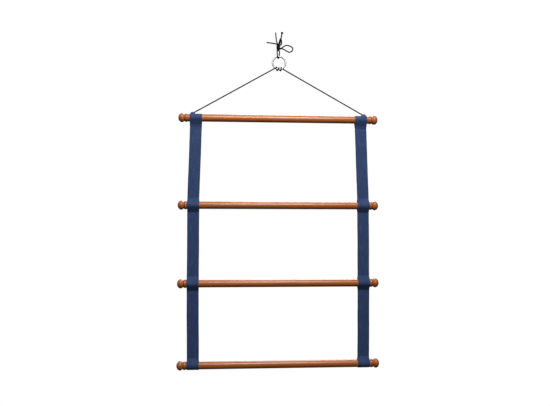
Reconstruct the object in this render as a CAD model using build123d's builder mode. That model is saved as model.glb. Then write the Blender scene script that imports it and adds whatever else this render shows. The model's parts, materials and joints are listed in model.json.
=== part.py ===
"""Hanging four-bar rack: wooden bars in two webbing straps, slung by a cord from a steel ring.

Millimetres. +X runs along the bars, +Z is up and the front faces -Y. The origin is the point
inside the top of the ring where a hook carries it.
"""

import os
from math import asin, cos, degrees, pi, radians, sin, tan

from build123d import *

os.makedirs("parts", exist_ok=True)

# Ring
ring_outer_dia = 50.0
ring_wire_dia = 6.0

# Bars
bar_length = 680.0
rod_dia = 25.0
ring_to_bar_1 = 193.0
bar_gaps = (295.0, 262.0, 270.0)

# Finials, measured from the tip inwards
ball_dia = 31.0
ball_length = 23.0
ball_widest = 12.5
tip_flat_dia = 3.0
groove_dia = 23.0
groove_width = 1.5
bead_dia = 28.0
finial_length = 31.0
pin_dia = 8.0
pin_bore_gap = 0.05
pin_in_finial = 16.0
pin_in_rod = 20.0
pin_bore_spare = 1.0

# Webbing straps
web_width = 40.0
web_thick = 1.5
rod_gap = 0.08
strap_x = (281.0, 288.0, 288.0, 286.0)
loop_depth = 22.0
neck_end = 26.0
crease_drop = 30.0
crease_half = 0.7
crease_clear = 2.1
crease_taper = 4.5

# Seam stitches
seam_drop = 24.0
stitch_length = 3.0
stitch_pitch = 4.6
stitch_count = 8
stitch_width = 0.8
stitch_proud = 0.4

# Sling cord, its hitch on the ring and the pockets that hold its ends
cord_dia = 4.5
cord_gap = 0.05
hitch_turns = 3
hitch_spread = 28.0
leg_start_x = 17.2
leg_start_drop = 40.6
pocket_x = 292.0
pocket_radius = 8.6
pocket_rise = 11.0
stopper_dia = 7.0
stopper_height = 4.2
stopper_rise = 13.3
stopper_gap = 0.2
leg_end_rise = 15.4
leg_bore_gap = 0.3

# Tie cord
knot_x = -2.6
knot_low = 21.5
knot_high = 47.5
knot_dia = 13.4
end_knot_dia = 8.0

# Worked out from the sizes above
rod_radius = rod_dia / 2
cord_radius = cord_dia / 2
wire_radius = ring_wire_dia / 2
ring_mean_radius = (ring_outer_dia - ring_wire_dia) / 2
ring_z = ring_wire_dia - ring_outer_dia / 2
bar_z = [ring_z - ring_to_bar_1]
for gap in bar_gaps:
    bar_z.append(bar_z[-1] - gap)
sides = {"left": -1, "right": 1}
bore_radius = rod_radius + rod_gap
loop_radius = bore_radius + web_thick


def save(part, name):
    """Label a finished sub-part and write its STEP file."""
    part.label = name
    export_step(part, f"parts/{name}.step")


# ---------------------------------------------------------------- ring
with BuildPart() as hanging_ring:
    with BuildSketch(Plane.XY.offset(ring_z)):
        with Locations((ring_mean_radius, 0)):
            Circle(wire_radius)
    revolve(axis=Axis((0, 0, ring_z), (0, 1, 0)))
save(hanging_ring.part, "hanging_ring")


# ---------------------------------------------------------------- cords
def route_radii(points):
    """The largest arc that the two runs beside each corner allow."""
    radii = []
    for before, corner, after in zip(points, points[1:], points[2:]):
        run_in = Vector(*corner) - Vector(*before)
        run_out = Vector(*after) - Vector(*corner)
        half_turn = radians(run_in.get_angle(run_out)) / 2
        radii.append(0.45 * min(run_in.length, run_out.length) / tan(half_turn))
    return radii


def cord_tube(name, points):
    """A tube of the cord's diameter along straight runs joined by tangent arcs."""
    radii = route_radii(points)
    with BuildPart() as tube:
        with BuildLine() as route:
            FilletPolyline(*points, radius=radii)
        start = Vector(*points[0])
        with BuildSketch(Plane(origin=start, z_dir=Vector(*points[1]) - start)):
            Circle(cord_radius)
        sweep()
    length = sum(edge.length for edge in route.edges())
    share = tube.part.volume / (length * pi * cord_radius**2)
    print(f"{name}: length {length:.1f}, radii {[round(r, 1) for r in radii]}, volume share {share:.3f}")
    save(tube.part, name)


# The strand pair that passes through the ring, under its top wire.
tie_strands = [
    (-6.6, -1.6, 25.0),
    (-6.9, -5.4, 14.5),
    (-5.6, -5.8, -3.1),
    (-0.4, 5.8, -3.1),
    (2.1, 5.4, 14.5),
    (1.6, 1.6, 25.0),
]
# The open bow loop on the right.
tie_bow_right = [
    (1.8, -2.8, 26.6),
    (8.2, -3.4, 31.2),
    (15.2, -3.7, 37.2),
    (22.6, -3.8, 42.4),
    (31.6, -3.6, 42.4),
    (40.4, -3.2, 38.8),
    (46.8, -2.6, 32.6),
    (47.2, -2.0, 24.8),
    (41.8, -1.4, 18.2),
    (34.2, -0.8, 16.6),
    (26.6, 0.0, 20.6),
    (19.0, 1.0, 26.4),
    (11.2, 1.8, 30.8),
    (2.8, 2.4, 33.2),
]
# The bow loop on the left, which reaches to the front and the back and slopes up to the back.
tie_bow_left = [
    (-7.3, -3.6, 43.0),
    (-14.0, -6.4, 45.0),
    (-20.4, -9.4, 45.2),
    (-27.2, -11.5, 45.6),
    (-33.8, -10.9, 46.5),
    (-39.2, -6.8, 48.3),
    (-41.4, 0.0, 50.7),
    (-39.3, 6.9, 52.8),
    (-33.8, 11.1, 53.7),
    (-27.0, 11.4, 52.9),
    (-20.2, 9.0, 51.3),
    (-13.8, 6.2, 48.6),
    (-7.3, 3.8, 43.4),
]
# The narrow loop that leans up to the right and folds back tightly at its tip.
tie_bow_upper = [
    (-2.4, -3.4, 39.4),
    (-0.8, -4.4, 47.6),
    (1.6, -4.9, 56.0),
    (4.6, -5.0, 65.2),
    (7.4, 5.2, 65.2),
    (9.9, 4.5, 55.4),
    (9.4, 2.4, 47.2),
    (5.2, 0.6, 42.2),
    (0.6, -0.9, 39.2),
]
tie_tail_left = [
    (-3.8, -0.2, 44.6),
    (-7.2, 0.4, 50.4),
    (-8.8, 1.3, 58.6),
    (-10.0, 1.7, 67.2),
    (-10.9, 1.2, 76.2),
    (-11.6, 0.0, 85.2),
]
tie_tail_right = [
    (-0.6, 3.8, 42.8),
    (1.4, 7.4, 50.6),
    (4.0, 9.6, 59.6),
    (6.6, 9.4, 69.0),
    (8.8, 7.6, 78.2),
    (11.0, 5.4, 87.0),
]
for cord_name, cord_points in {
    "tie_strands": tie_strands,
    "tie_bow_right": tie_bow_right,
    "tie_bow_left": tie_bow_left,
    "tie_bow_upper": tie_bow_upper,
    "tie_tail_left": tie_tail_left,
    "tie_tail_right": tie_tail_right,
}.items():
    cord_tube(cord_name, cord_points)

with BuildPart() as tie_knot:
    with BuildSketch(Plane.XY.offset(knot_low)):
        with Locations((knot_x, 0)):
            Circle(knot_dia / 2)
    extrude(amount=knot_high - knot_low)
    fillet(tie_knot.edges(), radius=knot_dia * 0.4)
save(tie_knot.part, "tie_knot")

with BuildPart() as tie_end_knot:
    with Locations(tie_tail_right[-1]):
        Sphere(end_knot_dia / 2)
save(tie_end_knot.part, "tie_end_knot")

# The hitch: turns of the sling cord round the bottom of the ring's wire.
with BuildPart() as sling_hitch:
    turn_step = 2 * hitch_spread / (hitch_turns - 1)
    for turn in range(hitch_turns):
        angle = -90 - hitch_spread + turn * turn_step
        along = Vector(cos(radians(angle)), 0, sin(radians(angle)))
        centre = Vector(0, 0, ring_z) + along * ring_mean_radius
        tangent = Vector(-along.Z, 0, along.X)
        with Locations(Plane(origin=centre, x_dir=along, z_dir=tangent)):
            Torus(wire_radius + cord_radius + cord_gap, cord_radius)
save(sling_hitch.part, "sling_hitch")

# The two taut legs, from beside the hitch to the stoppers on the top bar's loops.
leg_end_z = bar_z[0] + leg_end_rise
for side, sign in sides.items():
    leg_start = Vector(sign * leg_start_x, 0, -leg_start_drop)
    leg_end = Vector(sign * pocket_x, 0, leg_end_z)
    leg_line = leg_end - leg_start
    print(f"sling_leg_{side}: length {leg_line.length:.1f}, straight")
    with BuildPart() as sling_leg:
        with BuildSketch(Plane(origin=leg_start, z_dir=leg_line)):
            Circle(cord_radius)
        extrude(amount=leg_line.length)
        with Locations(leg_start):
            Sphere(cord_radius)
    save(sling_leg.part, f"sling_leg_{side}")

with BuildPart() as cord_stoppers:
    with BuildSketch(Plane.XY.offset(bar_z[0] + stopper_rise)):
        with Locations((-pocket_x, 0), (pocket_x, 0)):
            Circle(stopper_dia / 2)
    extrude(amount=stopper_height)
    fillet(cord_stoppers.edges().filter_by(GeomType.CIRCLE), radius=stopper_height * 0.35)
save(cord_stoppers.part, "cord_stoppers")

# ---------------------------------------------------------------- webbing loops
apex_half_angle = asin(bore_radius / loop_depth)
outer_apex = loop_radius / sin(apex_half_angle)
neck_start = outer_apex - web_thick / tan(apex_half_angle)


def flank_outline(radius, end_points, turned):
    """A closed outline from the tangent points on a circle out to the given end points."""
    half = [(radius * cos(apex_half_angle), radius * sin(apex_half_angle))] + end_points
    mirrored = [(-y, z) for y, z in reversed(half)]
    return [(y, turned * z) for y, z in half + mirrored]


def webbing_loop(level, side, sign):
    """The loop of webbing round one bar: a sleeve that closes to the doubled strap."""
    centre_x = sign * strap_x[level]
    upper_neck = [(web_thick, neck_start), (web_thick, neck_end)]
    lower_neck = [
        (web_thick, neck_start),
        (web_thick, crease_drop - crease_taper),
        (crease_half, crease_drop - crease_clear),
    ]
    necks = []
    if level > 0:
        necks.append((upper_neck, 1))
    if level < len(bar_z) - 1:
        necks.append((lower_neck, -1))
    profile_plane = Plane(
        origin=(centre_x - web_width / 2, 0, bar_z[level]), x_dir=(0, 1, 0), z_dir=(1, 0, 0)
    )
    with BuildPart() as loop:
        with BuildSketch(profile_plane):
            Circle(loop_radius)
            for neck, turned in necks:
                Polygon(*flank_outline(loop_radius, neck, turned), align=None)
        extrude(amount=web_width)
        if level == 0:
            with Locations((sign * pocket_x, 0, bar_z[0] + pocket_rise)):
                Sphere(pocket_radius)
        with BuildSketch(profile_plane):
            Circle(bore_radius)
            for _, turned in necks:
                Polygon(*flank_outline(bore_radius, [(0, loop_depth)], turned), align=None)
        extrude(amount=web_width, mode=Mode.SUBTRACT)
        if level == 0:
            with BuildSketch(Plane.XY.offset(bar_z[0] + stopper_rise - stopper_gap)):
                with Locations((sign * pocket_x, 0)):
                    Circle(stopper_dia / 2 + stopper_gap)
            extrude(amount=stopper_height + 2 * stopper_gap, mode=Mode.SUBTRACT)
            bore_start = Vector(sign * pocket_x, 0, leg_end_z)
            towards_ring = Vector(sign * leg_start_x, 0, -leg_start_drop) - bore_start
            with BuildSketch(Plane(origin=bore_start, z_dir=towards_ring)):
                Circle(cord_radius + leg_bore_gap)
            extrude(amount=2 * pocket_radius, mode=Mode.SUBTRACT)
    save(loop.part, f"loop_{level + 1}_{side}")


for level in range(len(bar_z)):
    for side, sign in sides.items():
        webbing_loop(level, side, sign)


# ---------------------------------------------------------------- webbing runs
def webbing_run(level, side, sign):
    """The doubled strap from the crease under one bar down to the loop of the next."""
    top_x = sign * strap_x[level - 1]
    low_x = sign * strap_x[level]
    hinge_z = bar_z[level - 1] - crease_drop
    full_z = hinge_z - crease_taper
    low_z = bar_z[level] + neck_end
    with BuildPart() as run:
        with BuildSketch(Plane.XZ):
            with BuildLine():
                Polyline(
                    (top_x - web_width / 2, full_z),
                    (top_x + web_width / 2, full_z),
                    (low_x + web_width / 2, low_z),
                    (low_x - web_width / 2, low_z),
                    close=True,
                )
            make_face()
        extrude(amount=web_thick, both=True)
        crease_plane = Plane(
            origin=(top_x - web_width / 2, 0, hinge_z), x_dir=(0, 1, 0), z_dir=(1, 0, 0)
        )
        with BuildSketch(crease_plane):
            with BuildLine():
                Line((-web_thick, -crease_taper), (-crease_half, -crease_clear))
                Line((-crease_half, -crease_clear), (-crease_half, 0))
                RadiusArc((-crease_half, 0), (crease_half, 0), crease_half)
                Line((crease_half, 0), (crease_half, -crease_clear))
                Line((crease_half, -crease_clear), (web_thick, -crease_taper))
                Line((web_thick, -crease_taper), (-web_thick, -crease_taper))
            make_face()
        extrude(amount=web_width)
    save(run.part, f"strap_{level + 1}_{side}")


for level in range(1, len(bar_z)):
    for side, sign in sides.items():
        webbing_run(level, side, sign)


# ---------------------------------------------------------------- seam stitches
def seam_stitches(level):
    """Short raised stitches on both faces of each neck of one bar's two loops."""
    seams = []
    if level > 0:
        seams.append(bar_z[level] + seam_drop)
    if level < len(bar_z) - 1:
        seams.append(bar_z[level] - seam_drop)
    with BuildPart() as stitches:
        for face in (-1, 1):
            with BuildSketch(Plane.XZ.offset(-face * web_thick)):
                for sign in sides.values():
                    for seam_z in seams:
                        with Locations((sign * strap_x[level], seam_z)):
                            with GridLocations(stitch_pitch, 0, stitch_count, 1):
                                RectangleRounded(stitch_length, stitch_width, stitch_width * 0.4)
            extrude(amount=-face * stitch_proud)
    save(stitches.part, f"seam_stitches_{level + 1}")


for level in range(len(bar_z)):
    seam_stitches(level)


# ---------------------------------------------------------------- bars
def wooden_rod(level):
    """A straight rod with a blind pin bore in each end."""
    rod_length = bar_length - 2 * finial_length
    with BuildPart() as rod:
        with BuildSketch(Plane(origin=(-rod_length / 2, 0, bar_z[level]), z_dir=(1, 0, 0))):
            Circle(rod_radius)
        extrude(amount=rod_length)
        for sign in sides.values():
            end = Plane(origin=(sign * rod_length / 2, 0, bar_z[level]), z_dir=(-sign, 0, 0))
            with BuildSketch(end):
                Circle(pin_dia / 2 + pin_bore_gap)
            extrude(amount=pin_in_rod + pin_bore_spare, mode=Mode.SUBTRACT)
    save(rod.part, f"rod_{level + 1}")


def finial(level, side, sign):
    """A turned end: ball, groove and bead, bored from the back for its pin."""
    tip = Plane(origin=(sign * bar_length / 2, 0, bar_z[level]), x_dir=(-sign, 0, 0), z_dir=(0, -1, 0))
    ball_radius = ball_dia / 2
    groove_radius = groove_dia / 2
    flat_angle = degrees(asin(tip_flat_dia / ball_dia))
    groove_angle = degrees(asin(groove_dia / ball_dia))
    outer_half = ball_widest / cos(radians(flat_angle))
    inner_half = ball_length - ball_widest
    shoulder = ball_widest + inner_half * cos(radians(groove_angle))
    bead_start = shoulder + groove_width
    bead_middle = (bead_start + finial_length) / 2
    with BuildPart() as turned:
        with BuildSketch(tip):
            with BuildLine():
                Polyline((finial_length, rod_radius), (finial_length, 0), (0, 0), (0, tip_flat_dia / 2))
                EllipticalCenterArc(
                    (ball_widest, 0), outer_half, ball_radius, start_angle=90, arc_size=90 - flat_angle
                )
                EllipticalCenterArc(
                    (ball_widest, 0),
                    inner_half,
                    ball_radius,
                    start_angle=groove_angle,
                    arc_size=90 - groove_angle,
                )
                Line((shoulder, groove_radius), (bead_start, groove_radius))
                ThreePointArc(
                    (bead_start, groove_radius),
                    (bead_middle, bead_dia / 2),
                    (finial_length, rod_radius),
                )
            make_face()
        revolve(axis=Axis(tip.origin, tip.x_dir))
        back = Plane(origin=tip.origin + tip.x_dir * finial_length, z_dir=(sign, 0, 0))
        with BuildSketch(back):
            Circle(pin_dia / 2 + pin_bore_gap)
        extrude(amount=pin_in_finial + pin_bore_spare, mode=Mode.SUBTRACT)
    save(turned.part, f"finial_{level + 1}_{side}")


def finial_pins(level):
    """The two dowel pins that hold one rod's finials."""
    joint_x = bar_length / 2 - finial_length
    with BuildPart() as pins:
        for sign in sides.values():
            start_x = sign * (joint_x - pin_in_rod)
            with BuildSketch(Plane(origin=(start_x, 0, bar_z[level]), z_dir=(sign, 0, 0))):
                Circle(pin_dia / 2)
            extrude(amount=pin_in_rod + pin_in_finial)
        chamfer(pins.edges().filter_by(GeomType.CIRCLE), length=0.6)
    save(pins.part, f"finial_pins_{level + 1}")


for level in range(len(bar_z)):
    wooden_rod(level)
    finial_pins(level)
    for side, sign in sides.items():
        finial(level, side, sign)
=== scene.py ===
"""The looks of the hanging four-bar rack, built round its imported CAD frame.

Metres, in the CAD's frame: +X runs along the bars, +Z is up, the front faces -Y, and the origin
is the point inside the top of the ring where a hook carries the rack.
"""

import json
from itertools import product
from math import acos, atan2, cos, pi, radians, sin, sqrt

import bpy
import numpy as np
from mathutils import Euler, Matrix, Vector


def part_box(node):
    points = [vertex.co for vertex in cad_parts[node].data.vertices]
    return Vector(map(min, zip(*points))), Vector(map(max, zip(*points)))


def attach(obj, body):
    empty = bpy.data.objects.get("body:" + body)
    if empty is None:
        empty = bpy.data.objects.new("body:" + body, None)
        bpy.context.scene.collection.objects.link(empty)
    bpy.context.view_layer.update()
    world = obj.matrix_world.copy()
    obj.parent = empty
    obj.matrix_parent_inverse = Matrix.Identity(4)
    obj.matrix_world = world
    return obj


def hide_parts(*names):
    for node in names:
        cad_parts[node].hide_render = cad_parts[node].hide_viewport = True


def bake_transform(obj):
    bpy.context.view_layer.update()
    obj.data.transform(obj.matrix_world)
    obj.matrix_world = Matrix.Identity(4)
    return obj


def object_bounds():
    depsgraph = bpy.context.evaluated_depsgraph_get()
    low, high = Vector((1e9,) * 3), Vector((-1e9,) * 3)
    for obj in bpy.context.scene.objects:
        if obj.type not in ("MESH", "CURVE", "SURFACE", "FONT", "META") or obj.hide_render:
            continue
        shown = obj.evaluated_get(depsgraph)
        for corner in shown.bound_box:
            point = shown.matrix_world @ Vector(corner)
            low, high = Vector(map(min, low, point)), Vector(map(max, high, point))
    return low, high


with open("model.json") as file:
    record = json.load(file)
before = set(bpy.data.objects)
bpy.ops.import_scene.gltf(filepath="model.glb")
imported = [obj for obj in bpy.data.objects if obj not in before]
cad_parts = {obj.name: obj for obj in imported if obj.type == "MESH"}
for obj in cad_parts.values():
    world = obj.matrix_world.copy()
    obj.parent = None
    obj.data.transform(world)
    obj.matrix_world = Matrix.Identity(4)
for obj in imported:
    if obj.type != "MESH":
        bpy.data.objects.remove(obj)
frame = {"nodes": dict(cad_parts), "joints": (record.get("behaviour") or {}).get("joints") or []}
cad_low, cad_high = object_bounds()
cad_centre = (cad_low + cad_high) / 2

mm = 0.001
sides = {"left": -1, "right": 1}
levels = (1, 2, 3, 4)
body_of_level = {1: "sling", 2: "tier_2", 3: "tier_3", 4: "tier_4"}

# ---------------------------------------------------------------- sizes read from the frame
ring_low, ring_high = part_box("hanging_ring")
ring_z = (ring_low.z + ring_high.z) / 2
wire_radius = (ring_high.y - ring_low.y) / 2
ring_mean_radius = (ring_high.z - ring_low.z) / 2 - wire_radius

rod_low, rod_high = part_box("rod_1")
rod_radius = (rod_high.z - rod_low.z) / 2
rod_end_x = rod_high.x
bar_end_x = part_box("finial_1_right")[1].x
bar_z = {level: sum(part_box(f"rod_{level}"), Vector()).z / 2 for level in levels}

loop_low, loop_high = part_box("loop_2_right")
web_width = loop_high.x - loop_low.x
strap_x = {level: sum(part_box(f"loop_{level}_right"), Vector()).x / 2 for level in levels}
layer = (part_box("strap_2_right")[1].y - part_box("strap_2_right")[0].y) / 2

stopper_low, stopper_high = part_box("cord_stoppers")
stopper_x = stopper_high.x - (stopper_high.y - stopper_low.y) / 2
stopper_z = (stopper_low.z + stopper_high.z) / 2
leg_low, leg_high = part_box("sling_leg_right")
stitches_low, stitches_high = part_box("seam_stitches_1")
seam_drop = bar_z[1] - (stitches_low.z + stitches_high.z) / 2
crease_z = {
    level: next(j for j in frame["joints"] if j["child"] == f"tier_{level}")["pos_m"][2]
    for level in levels[1:]
}
cord_diameter = leg_high.y - leg_low.y


# ---------------------------------------------------------------- node helpers
def new_material(name):
    """An empty node material and its shader, joined to the output."""
    material = bpy.data.materials.new(name)
    material.use_nodes = True
    tree = material.node_tree
    tree.nodes.clear()
    shader = tree.nodes.new("ShaderNodeBsdfPrincipled")
    output = tree.nodes.new("ShaderNodeOutputMaterial")
    tree.links.new(shader.outputs["BSDF"], output.inputs["Surface"])
    return material, tree, shader


def feed(tree, socket, value):
    """Links a socket to a node's output, or sets its value."""
    if isinstance(value, bpy.types.NodeSocket):
        tree.links.new(value, socket)
    else:
        socket.default_value = value


def add(tree, kind, inputs=(), **settings):
    """A node with its settings and its inputs, by name or number."""
    made = tree.nodes.new(kind)
    for key, value in settings.items():
        setattr(made, key, value)
    for key, value in dict(inputs).items():
        feed(tree, made.inputs[key], value)
    return made


def calc(tree, operation, *values):
    """One step of arithmetic on sockets and numbers."""
    return add(tree, "ShaderNodeMath", enumerate(values), operation=operation).outputs[0]


def blend_colours(tree, share, first, second):
    """A mix of two colours."""
    made = tree.nodes.new("ShaderNodeMix")
    made.data_type = "RGBA"
    feed(tree, made.inputs["Factor"], share)
    feed(tree, made.inputs["A"], first)
    feed(tree, made.inputs["B"], second)
    return made.outputs["Result"]


def spread(tree, value, low, high, to_low=0.0, to_high=1.0):
    """A value moved from one range to another, and kept in it."""
    inputs = {"Value": value, "From Min": low, "From Max": high, "To Min": to_low, "To Max": to_high}
    return add(tree, "ShaderNodeMapRange", inputs).outputs["Result"]


def noise(tree, place, scale, detail=2.0, roughness=0.5):
    """Noise from 0 to 1."""
    inputs = {"Vector": place, "Scale": scale, "Detail": detail, "Roughness": roughness}
    return add(tree, "ShaderNodeTexNoise", inputs).outputs["Fac"]


def object_place(tree, scale=(1, 1, 1), shift=(0, 0, 0)):
    """The place of a point in the CAD's frame, stretched and shifted."""
    place = tree.nodes.new("ShaderNodeTexCoord").outputs["Object"]
    inputs = {"Vector": place, "Scale": scale, "Location": shift}
    return add(tree, "ShaderNodeMapping", inputs).outputs["Vector"]


def bump(tree, shader, height, distance, strength=1.0):
    """Raises the surface by a height from 0 to 1 times a distance in metres."""
    made = add(tree, "ShaderNodeBump", {"Height": height, "Distance": distance, "Strength": strength})
    tree.links.new(made.outputs["Normal"], shader.inputs["Normal"])


# ---------------------------------------------------------------- materials
def steel():
    """Nickel-plated wire, with faint drawn marks and a little tarnish."""
    material, tree, shader = new_material("nickel_steel")
    place = object_place(tree)
    tarnish = noise(tree, place, 160.0, 4.0)
    marks = noise(tree, object_place(tree, (1, 6, 1)), 900.0, 2.0)
    colour = blend_colours(tree, tarnish, (0.34, 0.335, 0.33, 1), (0.62, 0.62, 0.63, 1))
    feed(tree, shader.inputs["Base Color"], colour)
    feed(tree, shader.inputs["Roughness"], spread(tree, tarnish, 0.3, 0.75, 0.40, 0.58))
    shader.inputs["Metallic"].default_value = 1.0
    bump(tree, shader, marks, 0.02 * mm)
    return material


def varnished_wood(name, seed):
    """Turned hardwood with a reddish varnish, its grain along the bar, and painted shade that darkens the
    turned groove.
    """
    material, tree, shader = new_material(name)
    heart = (seed * 0.173, (seed * 7 % 5 - 2) * 6 * mm, 14 * mm + seed * 3 % 4 * 5 * mm)
    along = object_place(tree, (0.06, 1, 1), heart)
    wander = noise(tree, along, 60.0, 3.0)
    centred = object_place(tree, (0.02, 1, 1), (0, heart[1], heart[2] - bar_z[seed % 4 + 1]))
    rings = add(
        tree,
        "ShaderNodeTexWave",
        {"Vector": centred, "Scale": 75.0, "Distortion": 5.0, "Detail": 3.0, "Detail Scale": 1.2},
        wave_type="RINGS",
        rings_direction="X",
        wave_profile="SAW",
    ).outputs["Fac"]
    pores = noise(tree, object_place(tree, (0.035, 1, 1), heart), 1500.0, 2.0, 0.6)
    streaks = noise(tree, object_place(tree, (0.02, 1, 1), heart), 330.0, 3.0, 0.6)
    light = (0.60, 0.185, 0.044, 1)
    middle = (0.48, 0.130, 0.020, 1)
    dark = (0.29, 0.062, 0.008, 1)
    colour = blend_colours(tree, spread(tree, rings, 0.05, 0.95), light, middle)
    colour = blend_colours(tree, spread(tree, streaks, 0.50, 0.78, 0.0, 0.75), colour, dark)
    colour = blend_colours(tree, spread(tree, wander, 0.35, 0.75, 0.0, 0.5), colour, middle)
    colour = blend_colours(tree, spread(tree, pores, 0.58, 0.72, 0.0, 0.6), colour, dark)
    # Painted shade: the colour is darkened in the turned groove and where the bead and the rod meet.
    x = add(tree, "ShaderNodeSeparateXYZ", {"Vector": object_place(tree)}).outputs["X"]
    from_end = calc(tree, "SUBTRACT", bar_end_x, calc(tree, "ABSOLUTE", x))
    for line, reach, share in ((groove_from_end, 1.6 * mm, 0.85), (finial_length, 0.7 * mm, 0.8)):
        away = calc(tree, "ABSOLUTE", calc(tree, "SUBTRACT", from_end, line))
        groove_shade = spread(tree, away, reach * 0.35, reach, share, 0.0)
        colour = blend_colours(tree, groove_shade, colour, (0.10, 0.030, 0.014, 1))
    feed(tree, shader.inputs["Base Color"], colour)
    feed(tree, shader.inputs["Roughness"], spread(tree, pores, 0.4, 0.75, 0.30, 0.46))
    shader.inputs["Coat Weight"].default_value = 0.35
    shader.inputs["Coat Roughness"].default_value = 0.22
    tool_marks = add(
        tree,
        "ShaderNodeTexWave",
        {"Vector": object_place(tree), "Scale": 420.0, "Distortion": 1.5, "Detail": 1.0},
        wave_type="BANDS",
        bands_direction="X",
    ).outputs["Fac"]
    on_finial = spread(tree, from_end, finial_length, finial_length + 1 * mm, 0.25, 0.0)
    height = calc(tree, "MULTIPLY_ADD", tool_marks, on_finial, pores)
    bump(tree, shader, height, 0.05 * mm, 0.6)
    return material


def plain_wood():
    """Unvarnished dowel wood."""
    material, tree, shader = new_material("dowel_wood")
    streaks = noise(tree, object_place(tree, (0.04, 1, 1)), 900.0, 3.0)
    colour = blend_colours(tree, streaks, (0.66, 0.46, 0.27, 1), (0.42, 0.26, 0.13, 1))
    feed(tree, shader.inputs["Base Color"], colour)
    shader.inputs["Roughness"].default_value = 0.7
    bump(tree, shader, streaks, 0.05 * mm)
    return material


def webbing():
    """Navy webbing: a fine herringbone of yarns on ribs, a little faded on their crests."""
    material, tree, shader = new_material("navy_webbing")
    uv = add(tree, "ShaderNodeUVMap", uv_map="weave").outputs["UV"]
    parts = add(tree, "ShaderNodeSeparateXYZ", {"Vector": uv})
    across = calc(tree, "DIVIDE", parts.outputs["X"], rib_pitch)
    down = calc(tree, "DIVIDE", parts.outputs["Y"], yarn_pitch)
    rib = calc(tree, "FLOOR", across)
    in_rib = calc(tree, "FRACT", across)
    # The yarns slant one way on one rib and the other way on the next.
    slant = calc(tree, "MULTIPLY_ADD", calc(tree, "PINGPONG", rib, 1.0), 2.0, -1.0)
    slanted = calc(tree, "MULTIPLY_ADD", calc(tree, "MULTIPLY", in_rib, slant), 1.4, down)
    yarn = calc(tree, "ABSOLUTE", calc(tree, "SINE", calc(tree, "MULTIPLY", slanted, pi)))
    crest = calc(tree, "SINE", calc(tree, "MULTIPLY", in_rib, pi))
    crown = spread(tree, crest, 0.0, 0.7, 0.35, 1.0)
    weave = calc(tree, "MULTIPLY", calc(tree, "POWER", yarn, 0.6), crown)
    lengthwise = add(tree, "ShaderNodeMapping", {"Vector": uv, "Scale": (1, 0.03, 1)}).outputs["Vector"]
    streaks = noise(tree, lengthwise, 900.0, 3.0)
    wear = noise(tree, object_place(tree), 38.0, 4.0, 0.6)
    fibres = noise(tree, object_place(tree), 2600.0, 2.0)
    navy = (0.034, 0.068, 0.185, 1)
    deep = (0.013, 0.026, 0.077, 1)
    faded = (0.065, 0.115, 0.250, 1)
    colour = blend_colours(tree, spread(tree, weave, 0.1, 0.85), deep, navy)
    colour = blend_colours(tree, spread(tree, streaks, 0.45, 0.75, 0.0, 0.7), colour, faded)
    colour = blend_colours(tree, spread(tree, wear, 0.5, 0.8, 0.0, 0.45), colour, faded)
    colour = blend_colours(tree, spread(tree, fibres, 0.55, 0.8, 0.0, 0.35), colour, faded)
    feed(tree, shader.inputs["Base Color"], colour)
    feed(tree, shader.inputs["Roughness"], spread(tree, weave, 0.0, 1.0, 0.92, 0.72))
    shader.inputs["Sheen Weight"].default_value = 0.06
    shader.inputs["Sheen Roughness"].default_value = 0.45
    shader.inputs["Specular IOR Level"].default_value = 0.25
    height = calc(tree, "MULTIPLY_ADD", fibres, 0.25, weave)
    bump(tree, shader, height, 0.16 * mm, 0.8)
    return material


def twisted_fibre(name, dark, light, sheen=0.05):
    """Cord or thread: fibres of one colour with lighter strays."""
    material, tree, shader = new_material(name)
    fibres = noise(tree, object_place(tree), 1900.0, 3.0, 0.6)
    patches = noise(tree, object_place(tree), 150.0, 3.0)
    patchy = spread(tree, patches, 0.3, 0.7, 0.4, 1.0)
    share = calc(tree, "MULTIPLY", spread(tree, fibres, 0.35, 0.75), patchy)
    feed(tree, shader.inputs["Base Color"], blend_colours(tree, share, dark, light))
    feed(tree, shader.inputs["Roughness"], spread(tree, fibres, 0.3, 0.7, 0.62, 0.88))
    shader.inputs["Sheen Weight"].default_value = sheen
    shader.inputs["Specular IOR Level"].default_value = 0.2
    bump(tree, shader, fibres, 0.06 * mm, 0.7)
    return material


rib_count = 17
rib_pitch = web_width / rib_count
yarn_pitch = 1.5 * mm
finial_length = bar_end_x - rod_end_x
groove_from_end = 23.2 * mm
webbing_material = webbing()
steel_material = steel()
dowel_material = plain_wood()
sling_material = twisted_fibre("charcoal_cord", (0.004, 0.004, 0.005, 1), (0.026, 0.026, 0.028, 1))
tie_material = twisted_fibre("black_cord", (0.002, 0.002, 0.003, 1), (0.011, 0.011, 0.012, 1))
tail_material = twisted_fibre("grey_black_cord", (0.010, 0.010, 0.012, 1), (0.075, 0.075, 0.080, 1))
core_material = twisted_fibre("cord_core", (0.002, 0.002, 0.003, 1), (0.010, 0.010, 0.012, 1), 0.0)
thread_material = twisted_fibre("navy_thread", (0.045, 0.065, 0.125, 1), (0.16, 0.19, 0.28, 1), 0.4)


def set_material(piece, material):
    """Gives a CAD node its material in every slot."""
    for slot in piece.material_slots:
        slot.material = material


for level in levels:
    wood = varnished_wood(f"varnished_wood_{level}", level - 1)
    for node in (f"rod_{level}", f"finial_{level}_left", f"finial_{level}_right"):
        set_material(frame["nodes"][node], wood)
    set_material(frame["nodes"][f"finial_pins_{level}"], dowel_material)
set_material(frame["nodes"]["hanging_ring"], steel_material)
set_material(frame["nodes"]["cord_stoppers"], sling_material)


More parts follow.
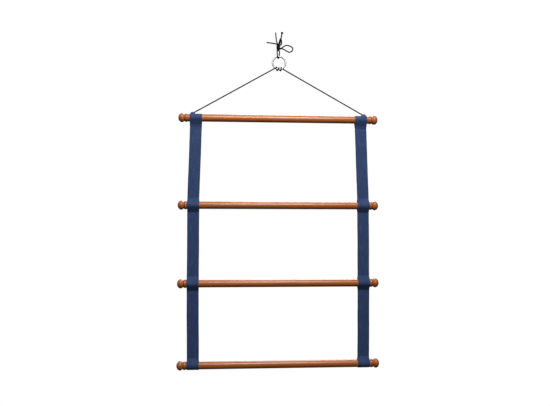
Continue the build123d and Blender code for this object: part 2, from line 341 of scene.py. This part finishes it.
# ---------------------------------------------------------------- mesh helpers
def mesh_piece(name, points, faces, materials, uvs=None, material_of=None):
    """A smooth-shaded mesh object made of points and faces."""
    mesh = bpy.data.meshes.new(name)
    mesh.from_pydata(points.tolist(), [], faces.tolist())
    for material in materials:
        mesh.materials.append(material)
    if material_of is not None:
        mesh.polygons.foreach_set("material_index", material_of)
    mesh.polygons.foreach_set("use_smooth", [True] * len(mesh.polygons))
    if uvs is not None:
        corners = np.zeros(len(mesh.loops), np.int32)
        mesh.loops.foreach_get("vertex_index", corners)
        mesh.uv_layers.new(name="weave").data.foreach_set("uv", uvs[corners].ravel())
    mesh.update()
    piece = bpy.data.objects.new(name, mesh)
    bpy.context.scene.collection.objects.link(piece)
    return piece


def unit(vectors):
    """The same directions, with a length of 1."""
    return vectors / np.linalg.norm(vectors, axis=-1, keepdims=True)


def grid_faces(rows, columns):
    """Quads between rings of points, each ring closed."""
    row, column = np.meshgrid(np.arange(rows - 1), np.arange(columns), indexing="ij")
    here, below = row * columns, (row + 1) * columns
    after = (column + 1) % columns
    quads = [here + column, here + after, below + after, below + column]
    return np.stack([q.ravel() for q in quads], axis=1)


def swept(line, across, out, wide, thick, sides_count):
    """Points of a closed tube of oval section round a line: a ring of points at each of its points."""
    angle = np.arange(sides_count) * 2 * pi / sides_count
    rings = (
        line[:, None]
        + across[:, None] * (wide[:, None] * np.cos(angle))[:, :, None]
        + out[:, None] * (thick[:, None] * np.sin(angle))[:, :, None]
    )
    return rings.reshape(-1, 3)


def rounded_ends(size, count):
    """Shrinks the first and last rings of a tube, to close it softly."""
    scale = np.full(count, 1.0)
    scale[[0, -1]] = 0.05
    scale[[1, -2]] = 0.75
    return size * scale


def along_line(line):
    """How far each point of a line is from its start."""
    return np.concatenate([[0], np.cumsum(np.linalg.norm(np.diff(line, axis=0), axis=1))])


def evenly(line, step):
    """The line again, with its points a step apart."""
    length = along_line(line)
    at = np.linspace(0, length[-1], max(4, round(length[-1] / step)) + 1)
    return np.stack([np.interp(at, length, line[:, k]) for k in range(3)], axis=1)


def turning_frames(line):
    """Two directions across a line at each point, which turn with it and don't spin."""
    forward = unit(np.gradient(line, axis=0))
    side = np.cross(forward[0], (0.0, 0.0, 1.0) if abs(forward[0][2]) < 0.9 else (0.0, 1.0, 0.0))
    first = []
    for direction in forward:
        side = side - direction * (side @ direction)
        side = side / np.linalg.norm(side)
        first.append(side)
    first = np.array(first)
    return first, np.cross(forward, first)


# ---------------------------------------------------------------- cords
def spline_line(route):
    """The points down the middle of a route's smooth NURBS spline, in metres."""
    curve = bpy.data.curves.new("route", "CURVE")
    curve.dimensions = "3D"
    curve.resolution_u = 24
    spline = curve.splines.new("NURBS")
    spline.points.add(len(route) - 1)
    for point, place in zip(spline.points, route):
        point.co = (place[0] * mm, place[1] * mm, place[2] * mm, 1.0)
    spline.order_u = 3
    spline.use_endpoint_u = True
    holder = bpy.data.objects.new("route", curve)
    mesh = bpy.data.meshes.new_from_object(holder)
    line = np.array([v.co[:] for v in mesh.vertices])
    bpy.data.meshes.remove(mesh)
    bpy.data.objects.remove(holder)
    bpy.data.curves.remove(curve)
    return line


# The braid: four strands wind each way, and each goes once round the cord in a pitch.
braid_pitch = 3.4 * cord_diameter
carriers = 4
strand_centre = 0.362 * cord_diameter
strand_weave = 0.045 * cord_diameter
strand_half_width = 0.215 * cord_diameter
strand_half_thick = 0.112 * cord_diameter
core_radius = 0.26 * cord_diameter
cap_length = 1.5 * mm
strand_kind, core_kind = 0, 1


def braided(name, line, material, melted_end=False, step=0.5 * mm):
    """A cord of eight braided strands round a core, along a line. A melted end has a rounded cap."""
    line = evenly(line, step)
    first, second = turning_frames(line)
    at = along_line(line)
    count = len(line)
    points, faces, kinds = [], [], []

    def keep(middle, across, out, wide, thick, sides_count, kind):
        made = grid_faces(len(middle), sides_count) + sum(len(p) for p in points)
        points.append(swept(middle, across, out, wide, thick, sides_count))
        faces.append(made)
        kinds.append(np.full(len(made), kind))

    core = np.full(count, core_radius)
    keep(line, first, second, core, core, 8, core_kind)
    for hand in (-1, 1):
        weave = hand * strand_weave * np.cos(2 * pi * carriers * at / braid_pitch)
        for carrier in range(carriers):
            angle = hand * 2 * pi * at / braid_pitch + carrier * 2 * pi / carriers
            out = first * np.cos(angle)[:, None] + second * np.sin(angle)[:, None]
            middle = line + out * (strand_centre + weave)[:, None]
            across = unit(np.cross(unit(np.gradient(middle, axis=0)), out))
            wide = rounded_ends(strand_half_width, count)
            thick = rounded_ends(strand_half_thick, count)
            keep(middle, across, out, wide, thick, 6, strand_kind)
    if melted_end:
        forward = unit(line[-1] - line[-2])
        rise = np.linspace(-1.1, 0.95, 9)
        cap_line = line[-1] + forward * (rise * cap_length)[:, None]
        cap_radius = 0.53 * cord_diameter * np.sqrt(np.clip(1 - (rise * 0.98) ** 2, 0.02, 1))
        across = np.broadcast_to(first[-1], (len(rise), 3))
        out = np.broadcast_to(second[-1], (len(rise), 3))
        keep(cap_line, across, out, cap_radius, cap_radius, 14, core_kind)
    return mesh_piece(
        name,
        np.concatenate(points),
        np.concatenate(faces),
        [material, core_material],
        material_of=np.concatenate(kinds).astype(np.int32),
    )


# The tie cord's routes, in millimetres: those in part.py, with some points moved by up to 3.3 mm.
tie_routes = {
    "tie_strands": [
        (-6.6, -1.6, 25.0), (-6.9, -5.4, 14.5), (-5.6, -5.8, -3.1), (-0.4, 5.8, -3.1),
        (2.1, 5.4, 14.5), (1.6, 1.6, 25.0),
    ],
    "tie_bow_right": [
        (1.8, -2.8, 26.6), (8.2, -3.4, 31.2), (15.2, -3.7, 36.6), (22.4, -3.8, 41.2),
        (31.2, -3.6, 41.2), (40.2, -3.2, 38.2), (46.8, -2.6, 32.8), (47.2, -2.0, 25.8),
        (41.6, -1.4, 19.8), (34.4, -0.8, 18.2), (26.6, 0.0, 22.0), (19.0, 1.0, 27.2),
        (11.2, 1.8, 30.8), (2.8, 2.4, 33.2),
    ],
    "tie_bow_left": [
        (-6.2, -3.2, 44.8), (-13.6, -6.2, 45.6), (-20.4, -9.4, 45.2), (-27.2, -11.5, 45.6),
        (-33.8, -10.9, 46.5), (-39.2, -6.8, 48.3), (-41.4, 0.0, 50.7), (-39.3, 6.9, 52.8),
        (-33.8, 11.1, 53.7), (-27.0, 11.4, 52.9), (-20.2, 9.0, 51.3), (-13.4, 6.0, 49.6),
        (-6.2, 3.2, 46.4),
    ],
    "tie_bow_upper": [
        (-2.4, -3.4, 39.4), (-0.8, -4.4, 47.6), (1.6, -4.9, 56.0), (4.6, -5.0, 65.2),
        (7.4, 5.2, 65.2), (9.6, 4.5, 56.0), (9.0, 2.4, 47.8), (4.8, 0.6, 42.4),
        (0.6, -0.9, 39.2),
    ],
    "tie_tail_left": [
        (-3.8, -0.2, 44.6), (-7.2, 0.4, 50.4), (-8.8, 1.3, 58.6), (-10.0, 1.7, 67.2),
        (-10.9, 1.2, 76.2), (-11.6, 0.0, 85.2),
    ],
    "tie_tail_right": [
        (0.4, 3.8, 42.8), (3.9, 7.6, 50.8), (5.9, 9.8, 59.6), (7.8, 9.4, 69.0),
        (9.0, 7.6, 78.2), (11.0, 5.4, 87.0),
    ],
}

# The coiled routes. Lengths are in millimetres, and the spread of the hitch round the ring in degrees.
points_per_turn = 12
knot_turns = 4.7
knot_radius = 4.5
knot_margin = 2.3
hitch_turns = 2.5
hitch_half_spread = 32.0


def tie_knot_route():
    """Turns of the cord wound up round the two strands, each tilted a little against the last."""
    low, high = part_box("tie_knot")
    middle_x = (low.x + high.x) / 2 / mm
    first_height = low.z / mm + knot_margin
    climb = (high.z - low.z) / mm - 2 * knot_margin
    count = round(knot_turns * points_per_turn)
    route = []
    for i in range(count + 1):
        angle = i * 2 * pi / points_per_turn + 0.6
        share = i / count
        radius = knot_radius - 0.5 * abs(2 * share - 1) ** 3
        tilt = 0.8 * sin(angle + 1.3 * sin(3.1 * share)) * cos(share * 5.0)
        height = first_height + share * climb + tilt
        route.append((middle_x + radius * cos(angle), radius * 0.94 * sin(angle), height))
    return route


def end_knot_route():
    """A small overhand knot, drawn tight at the end of the right tail."""
    low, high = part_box("tie_end_knot")
    middle = (low + high) / 2 / mm
    route = []
    for i in range(2 * points_per_turn + 1):
        angle = i * 2 * pi / points_per_turn
        radius = (0.40 + 0.20 * cos(1.5 * angle)) * cord_diameter / mm
        rise = (0.36 * sin(1.5 * angle) + (i - points_per_turn) * 0.03) * cord_diameter / mm
        x, y = middle.x + radius * cos(angle), middle.y + radius * sin(angle)
        route.append((x, y, middle.z - 0.5 + rise))
    return route


def tie_piece(name, line, node, material=tie_material):
    """A piece of the tie cord along a line, in place of a CAD node. The left tail's end is melted."""
    piece = braided(name, line, material, melted_end=node == "tie_tail_left")
    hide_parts(node)
    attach(piece, "ring")
    return piece


def tie_cord():
    """The black cord through the ring: strands, knot, three bow loops and two tails."""
    knot = tie_piece("tie_knot_turns", spline_line(tie_knot_route()), "tie_knot")
    end_knot = tie_piece("tie_end_turns", spline_line(end_knot_route()), "tie_end_knot")
    for name, route in tie_routes.items():
        line = spline_line(route)
        material = tail_material if name == "tie_tail_left" else tie_material
        piece = tie_piece(f"{name}_cord", line, name, material)


def toward(start, end, distance):
    """The point a distance from the start on the straight way to the end."""
    start, end = Vector(start), Vector(end)
    return tuple(start + (end - start).normalized() * distance)


def sling_route():
    """From the left stopper up to the ring, two and a half turns round its wire, and down to the right."""
    turn_radius = (wire_radius + cord_diameter / 2) / mm + 0.2
    count = round(hitch_turns * points_per_turn)
    hitch = []
    for i in range(count + 1):
        share = i / count
        turned = radians(-90 - 360 * hitch_turns * share)
        swing = radians(-hitch_half_spread + 2 * hitch_half_spread * share)
        reach = ring_mean_radius / mm + turn_radius * cos(turned)
        height = ring_z / mm - reach * cos(swing)
        hitch.append((reach * sin(swing), turn_radius * sin(turned), height))
    run_up = 5 * cord_diameter / mm
    left_end, right_end = (-stopper_x / mm, 0.0, stopper_z / mm), (stopper_x / mm, 0.0, stopper_z / mm)
    up = [left_end, toward(left_end, hitch[0], run_up), toward(hitch[0], left_end, run_up)]
    down = [toward(hitch[-1], right_end, run_up), toward(right_end, hitch[-1], run_up), right_end]
    return up + hitch + down


def sling_cord():
    """The cord that carries the rack: two halves that meet on the ring, each with part of the turns round
    its wire.
    """
    line = spline_line(sling_route())
    at = along_line(line)
    lap = 1.2 * mm
    halves = {
        "left": line[at <= at[-1] / 2 + lap],
        "right": line[at >= at[-1] / 2 - lap][::-1],
    }
    for side, sign in sides.items():
        half = halves[side]
        cord = braided(f"sling_cord_{side}", half, sling_material, step=0.6 * mm)
        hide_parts(f"sling_leg_{side}", "sling_hitch")
        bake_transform(cord)


tie_cord()
sling_cord()


# ---------------------------------------------------------------- webbing
# Sizes of the webbing in its loops. Heights are from a bar's middle.
web_thick = 1.3 * mm
rib_rise = 0.12 * mm
selvedge = 0.8 * mm
sleeve_radius = rod_radius + 0.2 * mm + web_thick / 2
layer_middle = layer / 2
lap_middle = layer + web_thick / 2 + rib_rise
lap_end = 27.4 * mm
strap_top = 17.0 * mm
loop_reach = 23.5 * mm
crease_reach = 6.0 * mm
straight_above = 26 * mm
straight_below = 30 * mm
stitch_pitch = 4.6 * mm
stitch_count = 8
stitch_length = 3.0 * mm
stitch_rows = 13
ply_radius = 0.24 * mm
pocket_radius = 10.2 * mm
pocket_rise = 5.6 * mm


def half_loop(middle, neck_y):
    """Half a loop's profile in (y, z) round a bar at z 0, from the neck above it to the neck below."""
    reach = sqrt(loop_reach**2 + neck_y**2)
    start = atan2(neck_y, loop_reach) + acos(middle / reach)
    angles = np.linspace(start, pi - start, 40)
    arc = [(middle * sin(a), middle * cos(a)) for a in angles]
    return [(neck_y, loop_reach)] + arc + [(neck_y, -loop_reach)]


def softened(profile, window=2.2 * mm, step=0.25 * mm):
    """The profile again, its points evenly spaced and its corners eased."""
    profile = np.array(profile)
    length = along_line(profile)
    at = np.linspace(0, length[-1], round(length[-1] / step) + 1)
    even = np.stack([np.interp(at, length, profile[:, k]) for k in range(2)], axis=1)
    reach = round(window / step)
    padded = np.concatenate(
        [
            even[0] + (even[0] - even[1]) * np.arange(reach, 0, -1)[:, None],
            even,
            even[-1] + (even[-1] - even[-2]) * np.arange(1, reach + 1)[:, None],
        ]
    )
    kernel = np.ones(2 * reach + 1) / (2 * reach + 1)
    return np.stack([np.convolve(padded[:, k], kernel, mode="valid") for k in range(2)], axis=1)


def across_samples(width):
    """Where the points across a ribbon lie, closer together at its selvedges."""
    edge = np.array([0, 0.12, 0.35, 0.65]) * mm
    inner = np.linspace(-width / 2 + 1.0 * mm, width / 2 - 1.0 * mm, rib_count * 4 + 1)
    return np.concatenate([-width / 2 + edge, inner, (width / 2 - edge)[::-1]])


def ribbon(profile, side, width, seams, seed, loose=()):
    """A solid strip of webbing along a (y, z) profile: ribbed faces, round selvedges, a dip at each seam.

    Its middle follows the strap's slant from bar to bar. Within each loose stretch of z, it waves a little.
    """
    # Rows lie closer together round the bars, at the creases and at the seams.
    length = along_line(profile)
    z = profile[:, 1]
    density = np.full(len(z), 1 / (3.5 * mm))
    for level in levels:
        density[np.abs(z - bar_z[level]) < 1.3 * loop_reach] = 1 / (1.1 * mm)
    for drop in crease_z.values():
        density[np.abs(z - drop) < 1.5 * crease_reach] = 1 / (0.9 * mm)
    for seam in seams:
        density[np.abs(z - seam) < 3 * mm] = 1 / (0.6 * mm)
    share = np.concatenate([[0], np.cumsum((density[1:] + density[:-1]) / 2 * np.diff(length))])
    stations = np.interp(np.linspace(0, share[-1], int(share[-1]) + 2), share, length)
    y, z = (np.interp(stations, length, profile[:, k]) for k in range(2))
    slope = unit(np.stack([np.gradient(y, stations), np.gradient(z, stations)], axis=1))
    normal = np.stack([-slope[:, 1], slope[:, 0]], axis=1)

    wave = np.zeros(len(z))
    for high, low in loose:
        inside = np.clip((high - z) / (high - low), 0, 1)
        wave += np.where((z < high) & (z > low), np.sin(pi * inside) ** 2, 0)
    phase = seed * 1.9
    sway = wave * (0.35 * np.sin(z / (37 * mm) + phase) + 0.2 * np.sin(z / (13 * mm) + 2 * phase)) * mm
    y = y + sway
    middle = strap_line(z, side) + wave * 0.35 * mm * np.sin(z / (51 * mm) + 3 * phase)
    wide = width + 0.25 * mm * np.sin(z / (9.1 * mm) + phase) * np.sin(z / (23 * mm) + seed)

    u = across_samples(width)
    from_edge = width / 2 - np.abs(u)
    body = np.sqrt(np.clip(1 - ((selvedge - np.minimum(from_edge, selvedge)) / selvedge) ** 2, 0, 1))
    ribs = np.abs(np.sin(pi * (u + width / 2) / rib_pitch)) ** 0.7 * (from_edge > selvedge)
    half = (web_thick / 2 * body + rib_rise * ribs)[None, :]
    rows = len(z)
    dip = np.zeros((rows, len(u)))
    for seam in seams:
        along = np.exp(-(((z - seam) / (1.1 * mm)) ** 2))
        holes = 0.55 + 0.45 * np.cos(2 * pi * (u / stitch_pitch + 0.5 * (stitch_count % 2 == 0)) + pi)
        dip += along[:, None] * holes[None, :] * 0.22 * mm
    offset = half - dip * np.minimum(half / (web_thick / 2), 1)
    x = middle[:, None] + u[None, :] * (wide / width)[:, None]
    top, bottom = (
        np.stack([x, y[:, None] + normal[:, :1] * lift, z[:, None] + normal[:, 1:] * lift], axis=2)
        for lift in (offset, -offset)
    )
    ring = np.concatenate([top, bottom[:, -2:0:-1]], axis=1)
    columns = ring.shape[1]
    faces = grid_faces(rows, columns)
    ends = []
    for row in (0, rows - 1):
        for i in range(len(u) - 1):
            far, near = (columns - i) % columns, columns - i - 1
            quad = [i, i + 1, near, far] if row else [far, near, i + 1, i]
            ends.append([row * columns + q for q in quad])
    # The outermost quad at each edge has a doubled corner and next to no size, so it is left out.
    ends = [e for e in ends if len(set(e)) == 4]
    u_ring = np.concatenate([u, u[-2:0:-1]]) + width / 2
    uvs = np.stack(np.broadcast_arrays(u_ring[None, :], stations[:, None]), axis=2)
    return ring.reshape(-1, 3), faces, ends, uvs.reshape(-1, 2), stations[-1]


def strap_line(z, side):
    """The x of the strap's middle at each height: straight down beside a bar, and slanting between them."""
    heights, places = [], []
    for level in levels:
        x = sides[side] * strap_x[level]
        heights += [bar_z[level] + straight_above, bar_z[level] - straight_below]
        places += [x, x]
    return np.interp(-z, [-h for h in heights], places)


def joined_ribbons(name, ribbons):
    """One piece made of several ribbons."""
    points, quads, uvs = [], [], []
    for made, faces, ends, uv, _ in ribbons:
        start = sum(len(p) for p in points)
        points.append(made)
        uvs.append(uv)
        quads += [faces + start, np.array(ends) + start]
    points, quads, uvs = (np.concatenate(parts) for parts in (points, quads, uvs))
    return mesh_piece(name, points, quads, [webbing_material], uvs=uvs)


def shifted(profile, height, front=False):
    """A profile moved to a bar's height, and turned to the front face if asked."""
    turn = -1 if front else 1
    return [(turn * y, z + height) for y, z in profile]


def top_loop(side):
    """Bar 1's loop: a ribbon over the bar, its ends lapped over the strap, with the cord's pocket."""
    low_end = [(lap_middle, -lap_end)]
    round_bar = half_loop(sleeve_radius, lap_middle)
    back = shifted(round_bar[len(round_bar) // 2 :], bar_z[1])
    quarter = np.linspace(pi / 2, 0, 20)[:-1]
    crown = [(sleeve_radius * sin(a), bar_z[1] + sleeve_radius * cos(a)) for a in quarter]
    half = shifted(low_end, bar_z[1]) + back[::-1] + crown
    whole = half + [(0.0, bar_z[1] + sleeve_radius)] + [(-y, z) for y, z in half[::-1]]
    made = ribbon(softened(whole), side, web_width + 1 * mm, [bar_z[1] - seam_drop], 1 + sides[side])
    points = with_pocket(made[0], side)
    piece = joined_ribbons(f"webbing_loop_1_{side}", [(points, *made[1:])])
    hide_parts(f"loop_1_{side}")
    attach(piece, "sling")


def with_pocket(points, side):
    """Lifts the webbing over the stopper at the outer top corner, in a dome with small gathers."""
    x, y, z = points.T
    middle_x = sides[side] * stopper_x
    away = np.hypot(x - middle_x, y)
    around = np.arctan2(y, x - middle_x)
    flank = np.clip((away - 3.6 * mm) / (pocket_radius - 3.6 * mm), 0, 1)
    dome = pocket_rise * (1 - flank * flank * (3 - 2 * flank))
    band = np.exp(-(((away - 6.5 * mm) / (2.6 * mm)) ** 2))
    gathers = 0.42 * mm * band * np.cos(8 * around + 0.8)
    lip = 0.5 * mm * np.exp(-(((away - 2.5 * mm) / (0.7 * mm)) ** 2))
    above = z > bar_z[1] + 0.6 * rod_radius
    from_bar = np.hypot(y, z - bar_z[1])
    grow = np.where(above, 1 + (dome + gathers + lip) / from_bar, 1)
    return np.stack([x, y * grow, bar_z[1] + (z - bar_z[1]) * grow], axis=1)


def free_ribbon(profile, level, side, seams):
    """A strap's ribbon, which waves in its own way where it hangs free between the loops."""
    loose = [(bar_z[level - 1] - 1.4 * loop_reach, bar_z[level] + 1.2 * loop_reach)]
    return ribbon(softened(profile), side, web_width, seams, level * 2.3 + sides[side], loose)


def middle_tier(level, side):
    """A doubled strap from one bar down past the next: front and back ribbons that part round the bar."""
    above, here = bar_z[level - 1], bar_z[level]
    start = above - (strap_top if level == 2 else seam_drop)
    seams = [above - seam_drop, here + seam_drop, here - seam_drop]
    pieces = []
    for front in (True, False):
        face = -1 if front else 1
        profile = [(face * layer_middle, start)]
        profile += shifted(half_loop(sleeve_radius, layer_middle), here, front)
        profile += [(face * layer_middle, here - seam_drop)]
        pieces.append(free_ribbon(profile, level, side, seams))
    finish_tier(level, side, pieces)


def last_tier(side):
    """The strap's last stretch: one ribbon down the front, round under bar 4 and up the back."""
    level = levels[-1]
    above, here = bar_z[level - 1], bar_z[level]
    down = half_loop(sleeve_radius, layer_middle)
    flank = shifted(down[: len(down) // 2], here, True)
    quarter = np.linspace(pi / 2, pi, 20)
    under = [(-sleeve_radius * sin(a), here + sleeve_radius * cos(a)) for a in quarter]
    half = [(-layer_middle, above - seam_drop)] + flank + under
    whole = half + [(-y, z) for y, z in half[-2::-1]]
    seams = [above - seam_drop, here + seam_drop]
    finish_tier(level, side, [free_ribbon(whole, level, side, seams)])


def finish_tier(level, side, ribbons):
    """Joins a strap's ribbons into one piece, and hides the CAD strap and loop in its place."""
    piece = joined_ribbons(f"webbing_tier_{level}_{side}", ribbons)
    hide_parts(f"strap_{level}_{side}", f"loop_{level}_{side}")
    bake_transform(piece)


def stitch_plies(x, height, surface, face, number, level):
    """The lines of one stitch's two plies, which twist about each other and sink in at both ends."""
    t = np.linspace(-1, 1, stitch_rows)
    lift = surface + (0.22 - 0.75 * t**4) * mm
    uneven = 0.12 * mm * sin(2.4 * number + level)
    for strand in (0, pi):
        turn = strand + t * 4.2 + number
        out = face * (lift + 0.16 * mm * np.sin(turn))
        yield np.stack([x + t * stitch_length / 2, out, height + 0.17 * mm * np.cos(turn) + uneven], axis=1)


def seam_threads(level):
    """Two-ply stitches across both faces of each neck of one bar's loops."""
    heights = []
    if level > 1:
        heights.append(bar_z[level] + seam_drop)
    if level < levels[-1]:
        heights.append(bar_z[level] - seam_drop)
    surface = layer + (web_thick + 2 * rib_rise if level == 1 else 0) - 0.12 * mm
    ply = np.full(stitch_rows, ply_radius)
    ply[[0, -1]] = ply_radius / 3
    points, faces = [], []
    for side, height, face, number in product(sides, heights, (-1, 1), range(stitch_count)):
        middle = strap_line(np.array([height]), side)[0]
        x = middle + (number - (stitch_count - 1) / 2) * stitch_pitch
        for line in stitch_plies(x, height, surface, face, number, level):
            first, second = turning_frames(line)
            start = 6 * stitch_rows * len(points)
            points.append(swept(line, first, second, ply, ply, 6))
            faces.append(grid_faces(stitch_rows, 6) + start)
    points, faces = np.concatenate(points), np.concatenate(faces)
    piece = mesh_piece(f"seam_threads_{level}", points, faces, [thread_material])
    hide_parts(f"seam_stitches_{level}")
    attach(piece, body_of_level[level])


for side in sides:
    top_loop(side)
    middle_tier(2, side)
    middle_tier(3, side)
    last_tier(side)
for level in levels:
    seam_threads(level)


# ---------------------------------------------------------------- camera, light and stage
def look():
    """The camera: in front, a little to the left, at a height between the second bar and the third."""
    camera = bpy.data.cameras.new("camera")
    camera.lens = 39.3
    holder = bpy.data.objects.new("camera", camera)
    holder.location = cad_centre + Vector((-0.155, -2.025, -0.1065))
    yaw, pitch, roll = radians(4.0), radians(2.53), radians(0.05)
    level_view = Euler((pi / 2 + pitch, 0, -yaw)).to_matrix()
    holder.rotation_euler = (level_view @ Matrix.Rotation(roll, 3, "Z")).to_euler()
    bpy.context.scene.collection.objects.link(holder)
    bpy.context.scene.camera = holder


def area_light(name, place, aim, size, power):
    """A square soft box at a place, aimed at a point."""
    lamp = bpy.data.lights.new(name, "AREA")
    lamp.shape = "SQUARE"
    lamp.size = size
    lamp.energy = power
    holder = bpy.data.objects.new(name, lamp)
    holder.location = place
    holder.rotation_euler = (Vector(aim) - Vector(place)).to_track_quat("-Z", "Y").to_euler()
    bpy.context.scene.collection.objects.link(holder)


def studio():
    """White surroundings that are dimmer below, a near soft box above in front, and a weaker one behind."""
    world = bpy.data.worlds.new("studio")
    bpy.context.scene.world = world
    world.use_nodes = True
    tree = world.node_tree
    tree.nodes.clear()
    direction = tree.nodes.new("ShaderNodeTexCoord").outputs["Generated"]
    up = add(tree, "ShaderNodeSeparateXYZ", {"Vector": direction}).outputs["Z"]
    around = spread(tree, up, -0.05, 0.1, 0.04, 0.17)
    overhead = spread(tree, up, 0.35, 1.0, 0.0, 0.4)
    lighting = calc(tree, "ADD", around, overhead)
    seen = tree.nodes.new("ShaderNodeLightPath").outputs["Is Camera Ray"]
    strength = calc(tree, "MAXIMUM", calc(tree, "MULTIPLY", seen, 1.02), lighting)
    background = add(tree, "ShaderNodeBackground", {"Color": (1, 1, 1, 1), "Strength": strength})
    output = tree.nodes.new("ShaderNodeOutputWorld")
    tree.links.new(background.outputs[0], output.inputs["Surface"])
    key_place, key_aim = cad_centre + Vector((0.08, -1.22, 1.17)), cad_centre + Vector((0, 0, 0.15))
    area_light("key", key_place, key_aim, size=0.7, power=24.5)
    area_light("back", cad_centre + Vector((0.3, 1.5, 1.0)), cad_centre, size=0.9, power=16)
    bpy.context.scene.view_settings.view_transform = "Standard"


def pale_floor():
    """A round pale floor below the hanging rack, which glows with painted light that grows to white at its
    rim.
    """
    material, tree, shader = new_material("pale_floor")
    place = object_place(tree)
    away = add(tree, "ShaderNodeVectorMath", {0: place}, operation="LENGTH").outputs["Value"]
    pale, grey = (0.90, 0.90, 0.90, 1), (0.86, 0.86, 0.86, 1)
    feed(tree, shader.inputs["Base Color"], blend_colours(tree, noise(tree, place, 30.0, 4.0), pale, grey))
    shader.inputs["Roughness"].default_value = 0.9
    # Painted light: the floor glows, weakly near its middle and fully at its rim.
    shader.inputs["Emission Color"].default_value = (1, 1, 1, 1)
    feed(tree, shader.inputs["Emission Strength"], spread(tree, away, 0.3, floor_radius * 0.95, 0.35, 1.0))
    count = 96
    corner = np.arange(count)
    angle = corner * 2 * pi / count
    rim = np.stack([np.cos(angle), np.sin(angle), np.zeros(count)], axis=1) * floor_radius
    fan = np.stack([corner, (corner + 1) % count, np.full(count, count)], axis=1)
    floor = mesh_piece("floor", np.concatenate([rim, [[0, 0, 0]]]), fan, [material])
    floor.location = (cad_centre.x, cad_centre.y, cad_low.z - floor_drop)
    floor.visible_diffuse = False
    floor.visible_glossy = False


floor_radius = 1.35
floor_drop = 0.65
look()
studio()
pale_floor()
